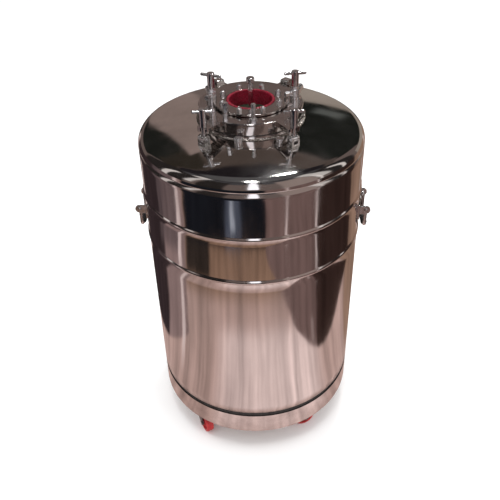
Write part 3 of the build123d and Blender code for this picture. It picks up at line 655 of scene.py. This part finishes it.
def painted_reflection_ground():
    """Glowing sheet seen only in reflections: painted reflection of warm lit ground near the vessel, and of
    the dim room's furniture beyond.
    """
    material = bpy.data.materials.new("painted_reflection_ground")
    material.use_nodes = True
    g = Graph(material.node_tree)
    g.tree.nodes.clear()
    coords = g.add("ShaderNodeTexCoord").outputs["Object"]
    split = g.add("ShaderNodeSeparateXYZ")
    g.link(coords, split.inputs[0])
    x, y = split.outputs[0], split.outputs[1]
    noise = g.add("ShaderNodeTexNoise", Scale=2.6, Detail=4.0)
    g.link(coords, noise.inputs["Vector"])
    wobble = g.math("SUBTRACT", noise.outputs["Fac"], 0.5)
    heading = g.math("MULTIPLY", g.math("ARCTAN2", x, g.math("MULTIPLY", y, -1.0)), 180 / math.pi)
    heading = g.math("MULTIPLY_ADD", wobble, 9.0, heading)
    reach = g.math("SQRT", g.math("ADD", g.math("MULTIPLY", x, x), g.math("MULTIPLY", y, y)))
    reach = g.math("MULTIPLY_ADD", wobble, 0.05, reach)
    spoke = g.add("ShaderNodeCombineXYZ")
    g.link(g.math("MULTIPLY", heading, 0.16), spoke.inputs[0])
    g.link(reach, spoke.inputs[1])
    streaks = g.add("ShaderNodeTexNoise", noise_dimensions="2D", Scale=1.0, Detail=5.0, Roughness=0.6)
    g.link(spoke.outputs[0], streaks.inputs["Vector"])

    def sector(low, high, soft, near, far=40.0, fade=0.03, share=1.0):
        mask = g.math("MULTIPLY", g.band(heading, low, high, soft), g.band(reach, near, far, fade))
        return g.math("MULTIPLY", mask, share)

    def painted_foot_reflection(centre, near, width, low, high, soft, share=1.0):
        """Painted reflection of the rounded foot of something that stands on the ground, at its nearest at
        centre.
        """
        off = g.math("DIVIDE", g.math("SUBTRACT", heading, centre), width)
        edge = g.math("MULTIPLY_ADD", off, off, near)
        mask = g.ramp(g.math("SUBTRACT", reach, edge), -0.012, 0.016)
        return g.math("MULTIPLY", g.math("MULTIPLY", mask, g.band(heading, low, high, soft)), share)

    dark = (0.030, 0.020, 0.018)
    # Painted reflections as emission colours: warm lit ground, dark feet of furniture and thin bright painted
    # glints.
    colour = g.painted((0.50, 0.350, 0.312), (
        (sector(-20, 48, 26, 0.36, 0.56, 0.16, 0.75), (0.90, 0.72, 0.69)),
        (sector(108, 150, 8, 0.42, fade=0.20), (0.30, 0.19, 0.14)),
        (sector(-66, 22, 10, 0.86, fade=0.16), (0.27, 0.165, 0.115)),
        (sector(-66, -46, 5, 0.88, fade=0.05), (0.035, 0.026, 0.022)),
        (sector(-66, 17, 4, 1.06, fade=0.03), (0.010, 0.011, 0.015)),
        (sector(-25, -14, 3, 1.10, 1.55, 0.10, 0.75), (0.10, 0.115, 0.16)),
        (sector(-20.5, -18.5, 2, 1.18, 1.36, 0.06, 0.9), (0.55, 0.60, 0.70)),
        (sector(22, 60, 5, 0.98, fade=0.10), (0.10, 0.068, 0.070)),
        (painted_foot_reflection(68, 0.495, 80, 12, 64, 3), (0.165, 0.106, 0.098)),
        (painted_foot_reflection(68, 0.495, 76, 64, 110, 4), (0.034, 0.019, 0.016)),
        (painted_foot_reflection(-112, 0.43, 130, -104, -71, 3), (0.28, 0.195, 0.188)),
        (painted_foot_reflection(-112, 0.43, 130, -140, -101, 6), (0.036, 0.024, 0.026)),
        (sector(-104, -79, 4, 1.00, fade=0.12, share=0.8), (0.125, 0.092, 0.096)),
        (sector(-77.5, -74.5, 1.2, 0.56, fade=0.25, share=0.8), (0.80, 0.66, 0.64)),
        (sector(30.5, 31.8, 0.8, 1.10, fade=0.05, share=0.7), (0.75, 0.62, 0.60)),
        (sector(61.5, 62.8, 0.8, 0.92, fade=0.15, share=0.75), (0.80, 0.68, 0.66)),
        (sector(56.5, 58.0, 1.2, 0.56, 0.62, 0.05, 0.35), (0.60, 0.48, 0.46)),
        (sector(-180, -152, 8, 0.80, fade=0.2), dark),
        (sector(158, 180, 8, 0.70, fade=0.2), dark),
        (sector(139, 141, 1.5, 0.8, fade=0.2, share=0.7), (0.80, 0.68, 0.66)),
        (sector(-148, -145, 1.5, 0.7, fade=0.2, share=0.7), (0.80, 0.68, 0.66)),
    ))
    # The sheet glows with these painted colours, brighter and darker in noisy streaks, though it is no lamp.
    glow = g.add("ShaderNodeEmission")
    g.link(colour, glow.inputs["Color"])
    shade = g.math("MULTIPLY_ADD", noise.outputs["Fac"], 0.5, 0.75)
    streaked = g.math("MULTIPLY_ADD", streaks.outputs["Fac"], 1.3, 0.36)
    g.link(g.math("MULTIPLY", shade, streaked), glow.inputs["Strength"])
    g.link(glow.outputs[0], g.add("ShaderNodeOutputMaterial").inputs["Surface"])
    return material


ground = stage_mesh("floor", *plain(40.0, 0.0), floor_material())
ground.visible_glossy = False
# Glowing sheet under the floor that only reflections see: the painted reflection of the ground and the room.
mirrored = stage_mesh("painted_reflection_ground", *plain(12.0, -0.002), painted_reflection_ground())
mirrored.visible_camera = False
mirrored.visible_diffuse = False
mirrored.visible_shadow = False


def room_world():
    """White to the lens; to the steel, a dim room with taupe walls, dark openings and a few bright edges."""
    world = bpy.data.worlds.new("room")
    bpy.context.scene.world = world
    world.use_nodes = True
    g = Graph(world.node_tree)
    g.tree.nodes.clear()
    coords = g.add("ShaderNodeTexCoord").outputs["Generated"]
    split = g.add("ShaderNodeSeparateXYZ")
    g.link(coords, split.inputs[0])
    noise = g.add("ShaderNodeTexNoise", Scale=2.5, Detail=4.0)
    g.link(coords, noise.inputs["Vector"])
    wobble = g.math("SUBTRACT", noise.outputs["Fac"], 0.5)
    heading = g.math("MULTIPLY", g.math("ARCTAN2", split.outputs[0], split.outputs[1]), 180 / math.pi)
    heading = g.math("MULTIPLY_ADD", wobble, 4.0, heading)
    height = g.math("MULTIPLY", g.math("ARCSINE", split.outputs[2]), 180 / math.pi)
    height = g.math("MULTIPLY_ADD", wobble, 6.0, height)

    def area(west, east, low, high, soft=2.0, share=1.0):
        mask = g.math("MULTIPLY", g.band(heading, west, east, soft), g.band(height, low, high, soft))
        return g.math("MULTIPLY", mask, share)

    def storey(low, high, soft, share=1.0):
        return g.math("MULTIPLY", g.band(height, low, high, soft), share)

    black = (0.012, 0.013, 0.011)
    colour = g.painted((0.150, 0.115, 0.105), (
        (storey(46, 90, 3), (0.085, 0.064, 0.055)),
        (storey(52.5, 90, 2), (0.016, 0.013, 0.015)),
        (area(-165, -75, 46, 58, 6), (0.065, 0.062, 0.066)),
        (area(75, 165, 46, 58, 6), (0.065, 0.062, 0.066)),
        (area(-118, -98, 14, 58, 5), (0.70, 0.66, 0.64)),
        (area(100, 114, 14, 58, 5), (0.60, 0.57, 0.55)),
        (area(-56, -18.5, 13, 47, 1.5), black),
        (area(-60, -17, 40, 49, 3), (0.030, 0.024, 0.018)),
        (area(-18, -9, -10, 41, 1.5), (0.27, 0.205, 0.185)),
        (area(10, 48, 13, 43, 2), black),
        (area(8, 60, -10, 12, 2), (0.34, 0.29, 0.25)),
        (area(14, 17, 18, 20, 3.0, 0.5), (0.20, 0.21, 0.20)),
        (area(-110, -62, -10, 50, 5), (0.022, 0.018, 0.017)),
        (area(-150, -128, -10, 50, 5), (0.022, 0.018, 0.017)),
        (area(70, 98, -10, 50, 5), (0.022, 0.018, 0.017)),
        (area(120, 150, -10, 50, 5), (0.30, 0.235, 0.215)),
        (area(-92, -86, -10, 42, 1.5, 0.8), (0.95, 0.88, 0.85)),
        (area(82, 86, -10, 42, 1.5, 0.8), (0.95, 0.88, 0.85)),
        (area(112, 114, -10, 42, 1.0, 0.8), (0.95, 0.88, 0.85)),
        (storey(68, 90, 7), (0.10, 0.097, 0.10)),
        (area(176, 180, 6, 62, 2), (1.5, 1.5, 1.6)),
        (area(-180, -176, 6, 62, 2), (1.5, 1.5, 1.6)),
    ))
    room = g.add("ShaderNodeBackground")
    g.link(colour, room.inputs["Color"])
    pale = g.add("ShaderNodeBackground", Color=(1, 1, 1, 1), Strength=1.0)
    blend = g.add("ShaderNodeMixShader")
    g.link(g.add("ShaderNodeLightPath").outputs["Is Glossy Ray"], blend.inputs[0])
    g.link(pale.outputs[0], blend.inputs[1])
    g.link(room.outputs[0], blend.inputs[2])
    g.link(blend.outputs[0], g.add("ShaderNodeOutputWorld").inputs["Surface"])


room_world()


def soft_light(name, at, target, size, power, glossy=True):
    data = bpy.data.lights.new(name, "AREA")
    data.shape = "RECTANGLE"
    data.size, data.size_y = size
    data.energy = power
    lamp = bpy.data.objects.new(name, data)
    bpy.context.scene.collection.objects.link(lamp)
    lamp.location = at
    lamp.rotation_euler = (Vector(target) - Vector(at)).to_track_quat("-Z", "Y").to_euler()
    lamp.visible_glossy = glossy


soft_light("ceiling_lamp", (-0.05, -0.95, 3.2), (-0.05, -0.5, 0.6), (0.30, 0.5), 9.0)
soft_light("spot_left", (-1.5, -1.3, 2.5), (0, 0, 0.8), (0.13, 0.13), 3.0, glossy=False)
soft_light("spot_right", (1.4, -1.5, 2.4), (0, 0, 0.8), (0.13, 0.13), 2.5, glossy=False)
soft_light("spot_back", (0.5, 1.0, 3.0), (0, 0, 0.8), (0.25, 0.25), 12.0)
soft_light("window_left", (-2.6, 0.4, 2.2), (0, 0, 0.7), (0.10, 0.9), 4.0, glossy=False)
soft_light("window_right", (2.4, -0.3, 2.4), (0, 0, 0.7), (0.10, 0.9), 4.0, glossy=False)
soft_light("top", (0.0, 0.0, 3.2), (0, 0, 0.5), (2.4, 2.4), 45.0, glossy=False)

bpy.context.scene.view_settings.view_transform = "Standard"
